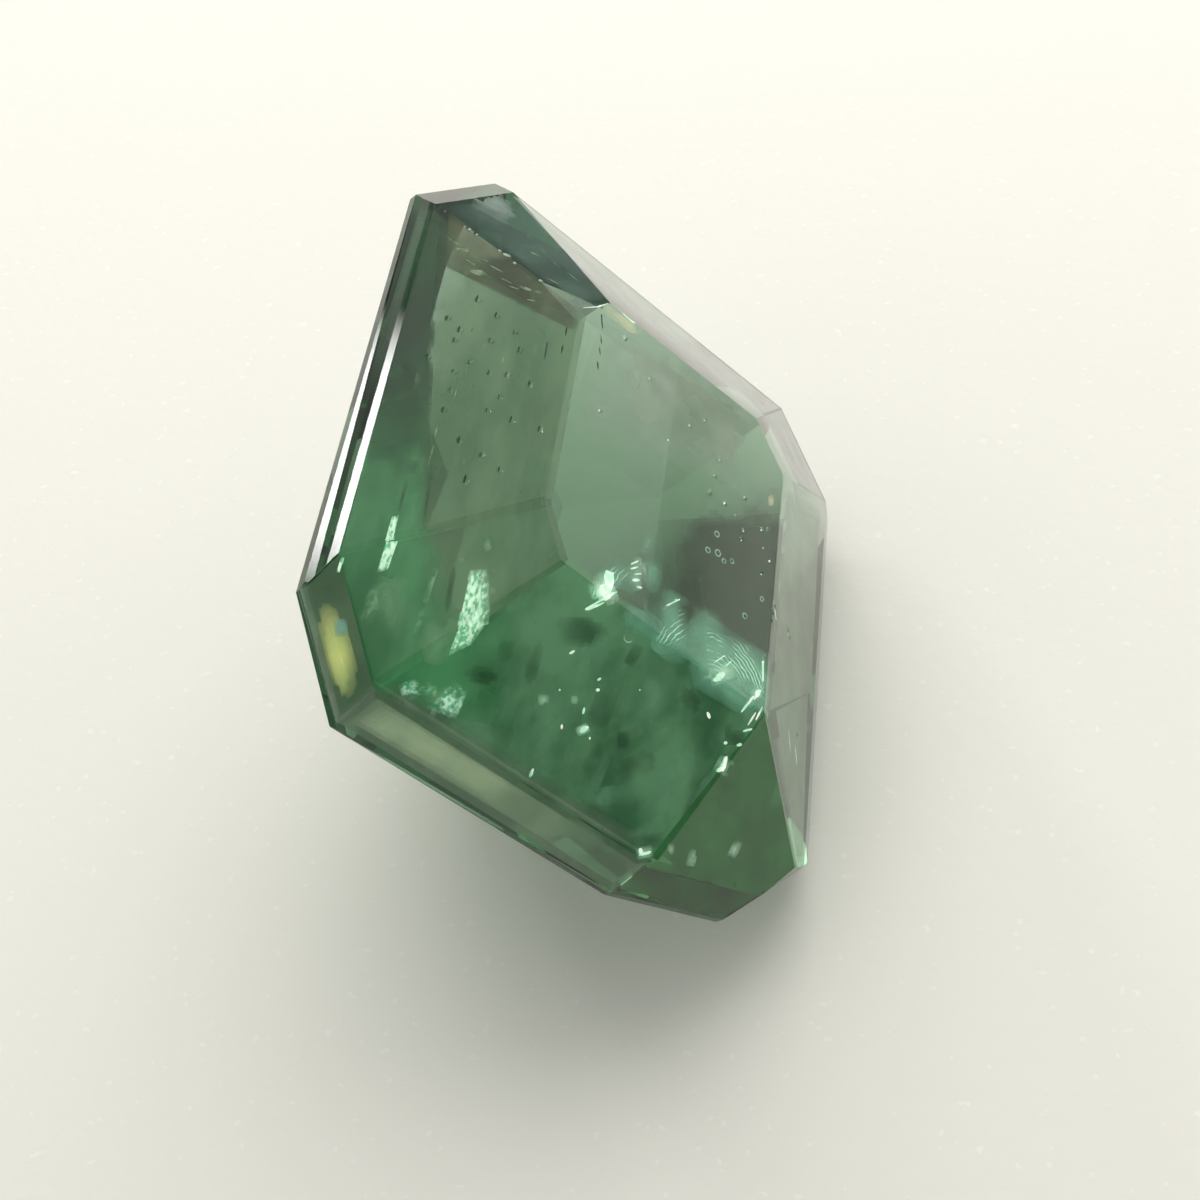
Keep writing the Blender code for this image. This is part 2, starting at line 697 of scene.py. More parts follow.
@dataclass(frozen=True)
class Groove:
    """A shallow groove along a narrow facet: its two rims and its bed, each a line between two pixels."""

    spot: tuple = (352, 470)
    near: tuple = ((360, 405), (322, 548))
    bed: tuple = ((366, 405), (327, 548))
    far: tuple = ((372, 405), (331, 548))
    depth: float = 0.016

    def grind(self, shape: bmesh.types.BMesh, sight: StoneSight) -> None:
        """Cut the facet along the three lines, and sink the middle one.

        Args:
            shape: the stone.
            sight: the way from pixels to points on the stone.
        """
        ahead = sight.eye.ray(*self.spot)
        _, normal, index, _ = BVHTree.FromBMesh(shape).ray_cast(sight.eye.place, ahead)
        shape.faces.ensure_lookup_table()
        strip = shape.faces[index]
        pieces = [strip, *strip.edges, *strip.verts]
        sunk = []
        for line in (self.near, self.bed, self.far):
            side = sight.eye.ray(*line[0]).cross(sight.eye.ray(*line[1])).normalized()
            cut = bmesh.ops.bisect_plane(shape, geom=pieces, plane_co=sight.eye.place, plane_no=side)
            found = dict.fromkeys(cut["geom"] + cut["geom_cut"])
            pieces = [piece for piece in found if piece.is_valid]
            if line is self.bed:
                sunk = [piece for piece in cut["geom_cut"] if isinstance(piece, bmesh.types.BMVert)]
        bmesh.ops.translate(shape, vec=-normal * self.depth * MM, verts=sunk)


@dataclass
class CutStone:
    """The polished body of the stone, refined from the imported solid.

    Its edges are slightly worn, a groove runs along the narrow facet at its left, and chips and pits are
    bitten out of it. A chip or a pit is the bite of a ball, whose pixel, radius and depth are in pixels.
    """

    weld: float = 0.0005 * MM
    flat_angle: float = 0.5
    keen_angle: float = 20.0
    edge_width: float = 0.012 * MM
    soft_width: float = 0.10 * MM
    soft_steps: int = 4
    soft_edges: tuple = ((470, 750), (630, 878), (320, 657), (355, 705))
    groove: Groove = field(default_factory=Groove)
    corner_cut: tuple = ((540, 281.5), (600, 305.7), (578, 322))
    finish: ClearApatite = field(default_factory=ClearApatite)
    chips: tuple = (
        (437, 206, 6.0, 2.0), (447, 212, 3.0, 1.6), (469, 229, 7.0, 1.6), (476, 234, 4.0, 2.0),
        (499, 251, 5.0, 1.4), (507, 256, 8.0, 2.2), (515, 263, 3.0, 1.4), (541, 281, 4.0, 1.6),
        (559, 297, 6.0, 1.2), (577, 316, 5.0, 1.6), (775, 606, 5.0, 2.2), (773, 613, 7.0, 1.8),
        (772, 621, 4.0, 2.0), (788, 630, 4.0, 1.8), (790, 638, 3.0, 1.8), (797, 735, 3.0, 1.8),
        (765, 716, 4.0, 1.4), (690, 877, 6.0, 1.2), (735, 885, 4.0, 1.6), (601, 306, 4.0, 1.4),
    )
    pits: tuple = LEFT_PITS + TABLE_PITS
    pit_radius: float = 4.2
    pit_depth: float = 2.2
    ball_steps: int = 2

    def facets(self) -> bmesh.types.BMesh:
        """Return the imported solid's facets, each as one face.

        Returns:
            The stone with flat facets.
        """
        shape = bmesh.new()
        shape.from_mesh(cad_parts[STONE_NODE].data)
        bmesh.ops.remove_doubles(shape, verts=shape.verts, dist=self.weld)
        flat = math.radians(self.flat_angle)
        bmesh.ops.dissolve_limit(shape, angle_limit=flat, verts=shape.verts, edges=shape.edges)
        return shape

    def cut_corner(self, shape: bmesh.types.BMesh, sight: StoneSight) -> None:
        """Grind the small extra facet at the top corner of the table.

        Args:
            shape: the stone.
            sight: the way from pixels to points on the stone.
        """
        first, second, third = (sight.surface(*spot)[0] for spot in self.corner_cut)
        out = (second - first).cross(third - first).normalized()
        if out.dot(sight.eye.place - first) < 0.0:
            out.negate()
        everything = shape.verts[:] + shape.edges[:] + shape.faces[:]
        cut = bmesh.ops.bisect_plane(shape, geom=everything, plane_co=first, plane_no=out, clear_outer=True)
        rim = [piece for piece in cut["geom_cut"] if isinstance(piece, bmesh.types.BMEdge)]
        bmesh.ops.edgenet_fill(shape, edges=rim)

    def wear(
        self, shape: bmesh.types.BMesh, edges: list[bmesh.types.BMEdge], width: float, steps: int
    ) -> None:
        """Round a few edges off.

        Args:
            shape: the stone.
            edges: the edges to round.
            width: how far the round reaches into each facet, in metres.
            steps: how many narrow faces make the round.
        """
        bmesh.ops.bevel(
            shape,
            geom=edges,
            offset=width,
            segments=steps,
            profile=0.5,
            affect="EDGES",
            material=-1,
            clamp_overlap=True,
        )

    def shape(self, sight: StoneSight) -> bmesh.types.BMesh:
        """Return the facets with their groove, their extra corner and their worn edges.

        Args:
            sight: the way from pixels to points on the stone.

        Returns:
            The stone without its chips.
        """
        shape = self.facets()
        self.cut_corner(shape, sight)
        self.groove.grind(shape, sight)
        soft = {}
        for spot in self.soft_edges:
            point = sight.surface(*spot)[0]
            soft[min(shape.edges, key=lambda edge: span(point, edge))] = spot
        self.wear(shape, list(soft), self.soft_width, self.soft_steps)
        limit = math.radians(self.keen_angle)
        keen = [edge for edge in shape.edges if edge.calc_face_angle(0.0) > limit]
        self.wear(shape, keen, self.edge_width, 1)
        return shape

    def bites(self, sight: StoneSight) -> bpy.types.Object:
        """Return the balls that bite the chips and the pits out of the stone, as one mesh.

        Args:
            sight: the way from pixels to points on the stone.

        Returns:
            The object that holds the balls.
        """
        shape = bmesh.new()
        small = [(across, down, self.pit_radius, self.pit_depth) for across, down in self.pits]
        for across, down, radius, depth in [*self.chips, *small]:
            point, normal = sight.surface(across, down)
            place = Matrix.Translation(point + normal * (radius - depth) * PIXEL)
            reach = radius * PIXEL
            bmesh.ops.create_icosphere(shape, subdivisions=self.ball_steps, radius=reach, matrix=place)
        return as_object("bites", shape, self.finish.material())

    def build(self, sight: StoneSight) -> bpy.types.Object:
        """Return the stone's body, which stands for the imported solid.

        Args:
            sight: the way from pixels to points on the stone.

        Returns:
            The piece, tied to the body.
        """
        stone = as_object("polished_stone", self.shape(sight), self.finish.material())
        cutter = self.bites(sight)
        cut = stone.modifiers.new("bites", "BOOLEAN")
        cut.operation = "DIFFERENCE"
        cut.solver = "EXACT"
        cut.object = cutter
        depsgraph = bpy.context.evaluated_depsgraph_get()
        finished = bpy.data.meshes.new_from_object(stone.evaluated_get(depsgraph))
        stone.modifiers.clear()
        stone.data = finished
        bpy.data.objects.remove(cutter)
        join_stone(stone)
        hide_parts(STONE_NODE)
        return stone


def span(point: Vector, edge: bmesh.types.BMEdge) -> float:
    """Return how far a point is from an edge.

    Args:
        point: the point.
        edge: the edge, which ends at its two corners.

    Returns:
        The distance, in metres.
    """
    start, end = (vert.co for vert in edge.verts)
    along = (point - start).dot(end - start) / (end - start).length_squared
    return (start.lerp(end, min(max(along, 0.0), 1.0)) - point).length


class Outline(Enum):
    """The outline of a sheet inside the stone."""

    SQUARE = "square"
    ROUND = "round"


@dataclass(frozen=True)
class Sheet:
    """A thin curved sheet inside the stone, hung between four pixels behind the facet at their middle.

    The corners run from the low left one against the clock. Their depth in mm is one number, or one for
    each. The cover of a square sheet fades towards its four sides, each over its own share of the sheet:
    left, right, low, high. That of a round sheet fades from its middle, over one share.
    """

    corners: tuple
    depth: float | tuple
    outline: Outline = Outline.SQUARE
    rim: tuple = (0.25, 0.25, 0.25, 0.25)
    wobble: float = 0.35
    wobble_waves: float = 3.0
    wobble_rise: float = 3.0
    wobble_shift: Vector = Vector((7.0, 3.0, 1.0))
    ripple: float = 0.03
    ripple_waves: float = 1.2
    cell: float = 5.0
    fewest_cells: int = 6
    trim: float = 0.03
    margin: float = 0.03

    @classmethod
    def about(
        cls, across: float, down: float, wide: float, tall: float, lean: float, depth: float
    ) -> "Sheet":
        """Return a round sheet about a pixel.

        Args:
            across: the middle pixel's distance from the photograph's left edge.
            down: the middle pixel's distance from its top edge.
            wide: its width in pixels.
            tall: its height in pixels.
            lean: how far it is turned in the picture, against the clock, in degrees.
            depth: how deep it lies, in millimetres.

        Returns:
            The sheet.
        """
        turn = Matrix.Rotation(math.radians(lean), 2)
        ends = ((-1, -1), (1, -1), (1, 1), (-1, 1))
        offsets = [turn @ Vector((x * wide / 2, y * tall / 2)) for x, y in ends]
        corners = tuple((across + offset.x, down - offset.y) for offset in offsets)
        return cls(corners, depth, outline=Outline.ROUND, rim=(0.9,), wobble=0.8)

    def cells(self) -> tuple[int, int]:
        """Return how many squares the sheet has along its width and its height.

        Returns:
            The two numbers.
        """
        spots = [Vector(corner) for corner in self.corners]
        wide = (spots[1] - spots[0]).length / self.cell
        tall = (spots[3] - spots[0]).length / self.cell
        return max(int(wide), self.fewest_cells), max(int(tall), self.fewest_cells)

    def cover(self, along: float, up: float) -> float:
        """Return how far a place on the sheet is from its rim: 0 there, 1 well inside.

        Args:
            along: the share of the sheet's width.
            up: the share of its height.

        Returns:
            The distance in shares of the rim, which may pass 1.
        """
        if self.outline is Outline.ROUND:
            return (1.0 - math.hypot(2.0 * along - 1.0, 2.0 * up - 1.0)) / self.rim[0]
        return min((near + OPEN) / rim for near, rim in zip((along, 1.0 - along, up, 1.0 - up), self.rim))

    def hung(self, sight: StoneSight) -> list[Vector]:
        """Return the four corners in the stone.

        Args:
            sight: the way from pixels to points in the stone.

        Returns:
            The corners, in the order of their pixels.
        """
        depths = self.depth if isinstance(self.depth, tuple) else (self.depth,) * 4
        middle = [sum(corner[axis] for corner in self.corners) / 4 for axis in (0, 1)]
        spot, facet = sight.surface(*middle)
        return [sight.behind(spot, facet, *corner, depth) for corner, depth in zip(self.corners, depths)]

    def add_to(self, shape: bmesh.types.BMesh, sight: StoneSight) -> None:
        """Add the sheet to a mesh.

        Args:
            shape: the mesh that gathers the sheets of one finish.
            sight: the way from pixels to points in the stone.
        """
        hung = self.hung(sight)
        rims = shape.verts.layers.float[RIM]
        x_cells, y_cells = self.cells()
        grid = bmesh.ops.create_grid(shape, x_segments=x_cells, y_segments=y_cells, size=0.5)
        normal = (hung[1] - hung[0]).cross(hung[3] - hung[0]).normalized()
        for vert in grid["verts"]:
            along, up = vert.co.x + 0.5, vert.co.y + 0.5
            low = hung[0].lerp(hung[1], along)
            place = low.lerp(hung[3].lerp(hung[2], along), up)
            rise = noise.noise(place * (self.ripple_waves / MM))
            edge = self.cover(along, up)
            jag = noise.noise(place * (self.wobble_waves / MM) + self.wobble_shift) * self.wobble
            edge += jag * min(edge * self.wobble_rise, 1.0)
            vert.co = place + normal * rise * self.ripple * MM
            vert[rims] = min(max(edge, 0.0), 1.0)
        bare = []
        for vert in grid["verts"]:
            if vert[rims] < self.trim or not sight.holds(vert.co, self.margin):
                bare.append(vert)
        bmesh.ops.delete(shape, geom=bare, context="VERTS")


def rounds(depth: float, *spots: tuple) -> tuple[Sheet, ...]:
    """Return round sheets that lie at one depth.

    Args:
        depth: how deep they lie, in millimetres.
        spots: the middle pixel, the width, the height and the lean of each.

    Returns:
        The sheets.
    """
    return tuple(Sheet.about(*spot, depth) for spot in spots)


def gather(name: str, sheets: tuple, material: bpy.types.Material, sight: StoneSight) -> bpy.types.Object:
    """Build sheets of one finish as one piece.

    Args:
        name: the piece's name.
        sheets: the sheets.
        material: what they look like.
        sight: the way from pixels to points in the stone.

    Returns:
        The piece, tied to the stone.
    """
    shape = bmesh.new()
    shape.verts.layers.float.new(RIM)
    for sheet in sheets:
        sheet.add_to(shape, sight)
    return join_stone(as_object(name, shape, material))


class Layer:
    """Sheets of one finish, which make one piece."""

    def __init__(self, name: str, finish: TrappedAndPaintedLight, *sheets: Sheet) -> None:
        """Keep the piece's name, its finish and its sheets.

        Args:
            name: the piece's name.
            finish: what the sheets look like.
            sheets: the sheets.
        """
        self.name = name
        self.finish = finish
        self.sheets = sheets

    def build(self, sight: StoneSight) -> bpy.types.Object:
        """Return the piece."""
        return gather(self.name, self.sheets, self.finish.material(self.name), sight)


@dataclass(frozen=True)
class Flake:
    """A small flat plate inside the stone, which faces the camera: sizes in pixels, depth in mm."""

    across: float
    down: float
    wide: float
    tall: float
    lean: float
    depth: float
    thickness: float = 0.004 * MM
    steps: int = 2
    ragged: float = 0.9
    ragged_waves: float = 9.0

    def add_to(self, shape: bmesh.types.BMesh, sight: StoneSight) -> None:
        """Add the plate, turned in the picture by its lean, against the clock.

        Args:
            shape: the mesh that gathers the plates.
            sight: the way from pixels to points in the stone.
        """
        place = sight.inside(self.across, self.down, self.depth)
        lean = Matrix.Rotation(math.radians(self.lean), 3, "Z")
        sizes = Matrix.Diagonal((self.wide * PIXEL, self.tall * PIXEL, self.thickness))
        turn = Matrix.Translation(place) @ (sight.eye.turned() @ lean @ sizes).to_4x4()
        made = bmesh.ops.create_icosphere(shape, subdivisions=self.steps, radius=0.5, matrix=turn)
        for vert in made["verts"]:
            grown = 1.0 + self.ragged * noise.noise(vert.co * (self.ragged_waves / MM))
            vert.co = place + (vert.co - place) * grown


def plates(depth: float, *spots: tuple) -> tuple[Flake, ...]:
    """Return plates that lie at one depth.

    Args:
        depth: how deep they lie, in millimetres.
        spots: the middle pixel, the width, the height and the lean of each.

    Returns:
        The plates.
    """
    return tuple(Flake(*spot, depth) for spot in spots)


def dots(spots: tuple, shift: tuple, size: tuple, lean: float, depth: float) -> tuple[Flake, ...]:
    """Return a plate of one size beside each pixel of a list.

    Args:
        spots: the pixels.
        shift: how far to the right and down of its pixel each plate is, in pixels.
        size: the width and the height of a plate, in pixels.
        lean: how far it is turned in the picture, in degrees.
        depth: how deep it lies, in millimetres.

    Returns:
        The plates.
    """
    return tuple(Flake(across + shift[0], down + shift[1], *size, lean, depth) for across, down in spots)


class Flakes:
    """Small plates of one finish, which make one piece."""

    def __init__(self, name: str, finish: Bright, *flakes: Flake) -> None:
        """Keep the piece's name, its finish and its plates.

        Args:
            name: the piece's name.
            finish: what the plates look like.
            flakes: the plates.
        """
        self.name = name
        self.finish = finish
        self.flakes = flakes

    def build(self, sight: StoneSight) -> bpy.types.Object:
        """Return the piece.

        Args:
            sight: the way from pixels to points in the stone.

        Returns:
            The piece, tied to the stone.
        """
        shape = bmesh.new()
        for flake in self.flakes:
            flake.add_to(shape, sight)
        return join_stone(as_object(self.name, shape, self.finish.material(self.name)))


class Assembly:
    """What the crystal grew around in one part of it, with the light and shade painted there: each field of a
    subclass builds one piece.
    """

    def build(self, sight: StoneSight) -> None:
        """Build the pieces in the order of the fields."""
        for part in vars(self).values():
            part.build(sight)


@dataclass
class HazeAndPaintedLight(Assembly):
    """The faint milk in the outer parts of the stone, which softens what lies behind it, with painted shade
    and painted highlights laid among it.
    """

    left: Layer = Layer(
        "left_haze",
        TrappedAndPaintedLight(
            pale=(0.128, 0.236, 0.115), deep=(0.050, 0.145, 0.052), cover=0.72, stretch=(1.0, 0.3, 1.0),
            shades=(0.36, 0.62), shade_waves=1.3, glow=0.40, detail=5.0,
        ),
        Sheet(((341, 555), (547, 503), (583, 310), (430, 203)), 0.30, rim=(0.30, OPEN, OPEN, 0.08)),
        Sheet(((375, 691), (565, 560), (546, 498), (341, 550)), 0.30, rim=(0.15, OPEN, OPEN, OPEN)),
    )
    right: Layer = Layer(
        "right_haze",
        TrappedAndPaintedLight(pale=(0.016, 0.150, 0.028), deep=(0.004, 0.100, 0.012), cover=0.85, glow=0.40),
        Sheet(((646, 865), (763, 897), (797, 869), (765, 713)), 0.2, rim=(OPEN,) * 4),
    )
    side: Layer = Layer(
        "side_haze",
        TrappedAndPaintedLight(pale=(0.260, 0.350, 0.235), deep=(0.180, 0.270, 0.165), cover=0.65, waves=0.5),
        Sheet(((766, 712), (815, 690), (824, 508), (785, 482)), 0.15, rim=(0.05, 0.1, OPEN, 0.1)),
        Sheet(
            ((797, 864), (804, 862), (815, 690), (767, 716)), (0.10, 0.10, 0.15, 0.15),
            rim=(0.05, 0.1, 0.05, OPEN),
        ),
    )
    olive: Layer = Layer(
        "olive_haze",
        TrappedAndPaintedLight(
            pale=(0.170, 0.190, 0.085), deep=(0.070, 0.095, 0.040), cover=0.60, waves=1.2,
            shades=(0.40, 0.60), shade_waves=1.6,
        ),
        Sheet(
            ((441, 266), (574, 332), (579, 311), (444, 211)), 0.25, rim=(0.12, 0.05, 0.06, OPEN), wobble=0.1,
        ),
    )
    # painted shade: a dark olive sheet that darkens the right part of the olive triangle
    olive_shade: Layer = Layer(
        "olive_shade",
        TrappedAndPaintedLight(pale=(0.048, 0.066, 0.026), deep=(0.014, 0.028, 0.010), cover=0.75, waves=1.2),
        Sheet(((470, 268), (530, 309), (535, 277), (500, 252)), 0.2, rim=(0.5, 0.04, 0.1, 0.3), wobble=0.3),
    )
    # painted shade: darker grey-green sheets that shade a patch of the table
    shade: Layer = Layer(
        "grey_green_shade",
        TrappedAndPaintedLight(pale=(0.058, 0.094, 0.056), deep=(0.046, 0.080, 0.046), cover=0.86, glow=0.40),
        Sheet(((668, 648), (764, 708), (780, 506), (652, 516)), 0.7, rim=(0.45, OPEN, 0.3, 0.12), wobble=0.1),
        Sheet.about(735, 560, 130, 120, 0, 0.8),
    )
    table: Layer = Layer(
        "table_haze",
        TrappedAndPaintedLight(pale=(0.350, 0.400, 0.320), deep=(0.250, 0.320, 0.230), cover=0.55, waves=0.6, glow=0.40),
        Sheet(((556, 430), (740, 492), (752, 420), (600, 312)), 0.25, rim=(0.35, 0.1, 0.4, 0.08)),
        Sheet.about(690, 405, 150, 90, -38, 0.22),
    )
    # near-white, glowing sheets that make the far edges of the table and of the right crown facet pale
    far: Layer = Layer(
        "pale_far_edges",
        TrappedAndPaintedLight(pale=(0.830, 0.805, 0.780), deep=(0.600, 0.610, 0.580), cover=0.36, glow=0.55),
        Sheet(
            ((612, 303), (755, 416), (779, 408), (515, 195)), 0.10, rim=(OPEN, OPEN, 0.35, OPEN), wobble=0.1,
        ),
        Sheet(
            ((757, 419), (784, 474), (824, 500), (781, 410)), 0.10, rim=(OPEN, OPEN, 0.35, OPEN), wobble=0.1,
        ),
    )
    crown: Layer = Layer(
        "crown_haze",
        TrappedAndPaintedLight(
            pale=(0.110, 0.185, 0.150), deep=(0.035, 0.095, 0.065), cover=0.55, waves=1.0,
            shades=(0.40, 0.60), shade_waves=0.9,
        ),
        Sheet(((582, 309), (608, 301), (513, 194), (438, 204)), 0.12, rim=(0.05, OPEN, 0.1, 0.1)),
    )
    # painted reflection: pale glowing patches at the top corner of the crown
    pale_corners: Layer = Layer(
        "pale_corners",
        TrappedAndPaintedLight(pale=(0.430, 0.500, 0.450), deep=(0.300, 0.370, 0.330), cover=0.75, waves=1.0),
        Sheet.about(492, 207, 70, 26, -28, 0.05),
        Sheet.about(497, 200, 40, 20, -20, 0.04),
    )
    # painted highlights: small yellowish glowing patches at the table's top corner and at the right edge
    yellow_corners: Layer = Layer(
        "yellow_corners",
        TrappedAndPaintedLight(pale=(0.700, 0.700, 0.420), deep=(0.520, 0.560, 0.330), cover=0.70, waves=1.0, glow=0.45),
        *rounds(0.05, (620, 318, 58, 18, -38), (771, 500, 9, 18, 0)),
    )


@dataclass
class LeftGlow(Assembly):
    """Painted light along the left edge: a saturated green glow, with painted shade at its top and in a few
    thin lines.
    """

    # painted light: glowing green sheets for the light that the left edge gathers
    lit: Layer = Layer(
        "left_green_glow",
        TrappedAndPaintedLight(
            pale=(0.060, 0.265, 0.100), deep=(0.014, 0.145, 0.040), cover=0.90, stretch=(1.0, 0.3, 1.0),
            glow=0.45,
        ),
        Sheet(((340, 554), (432, 532), (432, 370), (386, 380)), 0.25, rim=(OPEN, 0.22, OPEN, 0.55)),
        Sheet(((374, 690), (464, 630), (440, 523), (339, 551)), 0.25, rim=(OPEN, 0.30, OPEN, OPEN)),
        Sheet(((400, 706), (520, 760), (530, 600), (374, 686)), 0.25, rim=(OPEN, 0.5, 0.5, OPEN)),
    )
    # painted light: paler glowing patches in that green
    pale: Layer = Layer(
        "left_pale_glow",
        TrappedAndPaintedLight(
            pale=(0.150, 0.330, 0.165), deep=(0.095, 0.260, 0.110), cover=0.85, waves=1.5,
            stretch=(1.0, 0.3, 1.0), broken=(0.10, 0.50), glow=0.45,
        ),
        *rounds(
            0.18, (388, 615, 60, 90, -20), (376, 600, 24, 60, -20), (440, 640, 50, 60, -20),
            (436, 694, 50, 30, -20),
        ),
    )
    # painted shade: near-black sheets where the left band and a few thin lines lie in shade
    dark: Layer = Layer(
        "left_dark_band",
        TrappedAndPaintedLight(
            pale=(0.002, 0.080, 0.016), deep=(0.001, 0.040, 0.007), cover=0.95, stretch=(1.0, 0.3, 1.0),
            broken=(0.0, 0.40),
        ),
        Sheet(
            ((352, 508), (432, 503), (441, 214), (430, 206)), 0.18, rim=(0.03, 0.20, 0.40, 0.06), wobble=0.6,
        ),
        Sheet(((362, 388), (381, 398), (433, 208), (418, 200)), 0.08, rim=(0.1, 0.05, 0.3, 0.1)),
        *rounds(
            0.15, (403, 495, 6, 44, -14), (427, 500, 5, 90, -8), (415, 465, 24, 30, -10),
            (450, 590, 10, 56, -10), (481, 675, 44, 26, -10),
        ),
    )


@dataclass
class CloudBank(Assembly):
    """The mottled green clouds that fill the lower half of the stone, with hollows and streaks, and a
    near-black sheet of painted shade over the lowest facets.
    """

    leaves: Layer = Layer(
        "green_clouds",
        TrappedAndPaintedLight(
            pale=(0.125, 0.300, 0.152), deep=(0.020, 0.110, 0.038), cover=0.92, waves=0.7,
            stretch=(1.0, 0.6, 1.0), broken=(0.05, 0.38), shades=(0.31, 0.66), shade_waves=1.1,
            glow=0.44, detail=5.0,
        ),
        Sheet(
            ((372, 688), (648, 865), (768, 714), (560, 556)), 0.4, rim=(OPEN, OPEN, OPEN, 0.02), ripple=0.06,
        ),
        Sheet(
            ((430, 670), (640, 840), (745, 715), (600, 600)), (1.0, 1.0, 1.1, 1.1),
            rim=(0.2, 0.2, 0.2, 0.2), ripple=0.12,
        ),
        Sheet(((470, 660), (620, 810), (730, 715), (600, 600)), (1.9, 1.7, 1.8, 1.9), ripple=0.14),
    )
    hollows: Layer = Layer(
        "dark_hollows",
        TrappedAndPaintedLight(
            pale=(0.014, 0.078, 0.024), deep=(0.006, 0.045, 0.012), cover=0.74, waves=1.5,
            broken=(0.15, 0.70), detail=6.0,
        ),
        Sheet.about(596, 822, 80, 36, -32, 0.25),
        *rounds(0.3, (532, 790, 34, 24, -30), (652, 840, 34, 24, 0)),
        *rounds(
            0.35, (637, 766, 50, 34, 30), (624, 740, 20, 26, 0), (604, 705, 34, 60, -20),
            (634, 655, 18, 34, -30), (578, 632, 70, 40, 0), (690, 810, 14, 60, -24),
            (536, 655, 20, 70, -14), (505, 655, 24, 40, -10), (735, 735, 30, 30, 0),
            (690, 700, 26, 40, 30),
        ),
    )
    # painted shade: a near-black sheet over the dark lowest facets at the bottom tip
    base: Layer = Layer(
        "dark_base",
        TrappedAndPaintedLight(
            pale=(0.004, 0.105, 0.010), deep=(0.001, 0.040, 0.003), cover=0.96, shade_waves=1.2,
            glow=0.25,
        ),
        Sheet(
            ((614, 892), (722, 918), (763, 893), (649, 864)), (0.12, 0.12, 0.15, 0.15),
            rim=(OPEN, OPEN, 0.05, 0.1),
        ),
    )
    streaks: Layer = Layer(
        "pale_streaks",
        TrappedAndPaintedLight(
            pale=(0.160, 0.350, 0.210), deep=(0.085, 0.235, 0.120), cover=0.60, waves=2.4,
            stretch=(1.0, 0.4, 1.0), broken=(0.33, 0.62), glow=0.42, detail=5.0,
        ),
        *rounds(0.30, (560, 745, 40, 90, -22), (596, 775, 26, 60, -22), (655, 700, 60, 70, 30)),
        *rounds(0.28, (655, 800, 20, 80, -30), (616, 795, 60, 30, 10)),
        *rounds(
            0.30, (575, 670, 20, 70, -25), (600, 650, 30, 50, -20), (505, 700, 20, 80, -14),
            (525, 740, 40, 80, -14),
        ),
        Sheet.about(640, 832, 70, 20, 24, 0.25),
        Sheet.about(692, 800, 14, 120, -40, 0.22),
        *rounds(0.30, (545, 705, 30, 60, -20), (480, 715, 40, 60, -30), (680, 770, 40, 60, -30)),
    )


@dataclass
class GrowthTubes(Assembly):
    """Strips of fine grains that run along the crystal, whose sparkle is painted as a strong glow."""

    strips: Layer = Layer(
        "bright_tubes",
        TrappedAndPaintedLight(
            pale=(0.72, 1.0, 0.76), deep=(0.14, 0.46, 0.23), cover=0.92, waves=7.0,
            stretch=(1.0, 0.4, 1.0), broken=(0.18, 0.50), shades=(0.38, 0.62), shade_waves=22.0,
            glow=0.80, detail=5.0,
        ),
        Sheet(((374, 575), (389, 571), (400, 541), (384, 542)), 0.14, rim=(0.1, 0.15, 0.2, OPEN), cell=2.0),
        Sheet(((383, 541), (395, 538), (401, 513), (391, 515)), 0.14, rim=(0.1, 0.1, OPEN, 0.1), cell=2.0),
        Sheet(
            ((455, 632), (491, 622), (490, 566), (470, 568)), 0.14,
            rim=(0.08, 0.45, OPEN, 0.15), wobble=0.5, cell=2.0,
        ),
        Sheet(
            ((446, 659), (472, 646), (490, 622), (455, 633)), 0.14,
            rim=(0.10, 0.5, 0.35, OPEN), wobble=0.5, cell=2.0,
        ),
        Sheet(((335, 574), (340, 574), (345, 556), (341, 556)), 0.12, rim=(0.2, 0.2, 0.2, 0.2), cell=1.5),
    )
    dull: Layer = Layer(
        "dull_tubes",
        TrappedAndPaintedLight(
            pale=(0.22, 0.42, 0.24), deep=(0.06, 0.22, 0.09), cover=0.70, waves=8.0,
            stretch=(1.0, 0.5, 1.0), broken=(0.30, 0.60), shades=(0.42, 0.62), shade_waves=12.0,
            glow=0.45, detail=4.0,
        ),
        Sheet(((409, 640), (416, 642), (440, 568), (432, 568)), 0.15, rim=(0.15, 0.15, 0.3, 0.05), cell=2.5),
        Sheet(((486, 598), (500, 592), (503, 566), (490, 566)), 0.15, rim=(0.1, 0.5, 0.3, 0.15), cell=2.5),
        *rounds(0.15, (372, 602, 22, 60, -20), (488, 545, 14, 28, -30), (462, 560, 16, 8, 20)),
    )
    ends: Layer = Layer(
        "tube_ends",
        TrappedAndPaintedLight(
            pale=(0.66, 1.0, 0.78), deep=(0.09, 0.38, 0.20), cover=0.80, waves=7.0, broken=(0.30, 0.60),
            shades=(0.42, 0.60), shade_waves=16.0, glow=0.68, detail=4.0,
        ),
        *rounds(0.14, (411, 690, 32, 28, 20), (430, 691, 36, 26, 0)),
        Sheet.about(447, 700, 44, 50, -20, 0.16),
    )


